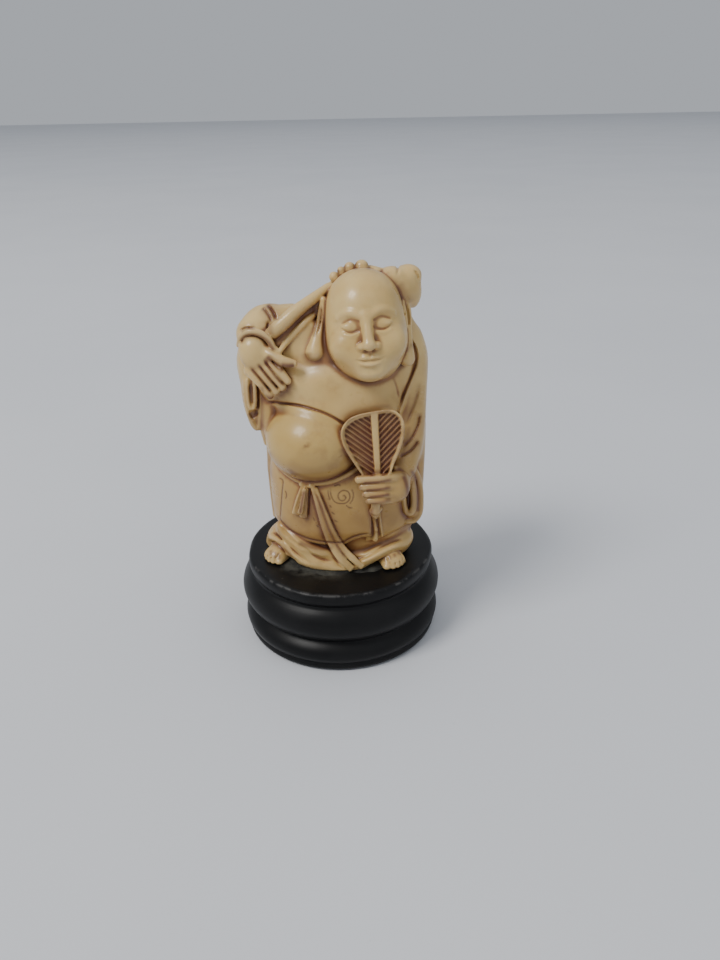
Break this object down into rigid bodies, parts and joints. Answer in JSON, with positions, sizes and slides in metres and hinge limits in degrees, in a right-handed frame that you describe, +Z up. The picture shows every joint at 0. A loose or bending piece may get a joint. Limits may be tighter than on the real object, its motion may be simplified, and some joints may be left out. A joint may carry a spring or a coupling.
{
  "type": "laughing buddha statue",
  "caption": "Ivory-coloured resin figure of a stout laughing monk with sack and leaf fan, standing on a turned black plinth with a felt underside",
  "frame": {"origin": "centre of the felt's underside, on the plinth's axis", "axes": "+Z up along the plinth's axis, the figure looks along -Y, the hand with the fan is on +X"},
  "size_m": [0.056, 0.056, 0.1016],
  "materials": {
    "resin": "semi-gloss ivory resin with red-brown patina in the recesses",
    "lacquered_wood": "satin black lacquer, edges worn glossy",
    "felt": "matt pressed felt",
    "steel": "zinc plated",
    "adhesive": "set adhesive with dust"
  },
  "bodies": {
    "root": {"figure_casting": "resin", "plinth": "lacquered_wood", "felt_pad": "felt", "fixing_screw": "steel", "screw_washer": "steel", "adhesive_film": "adhesive"}
  },
  "joints": []
}
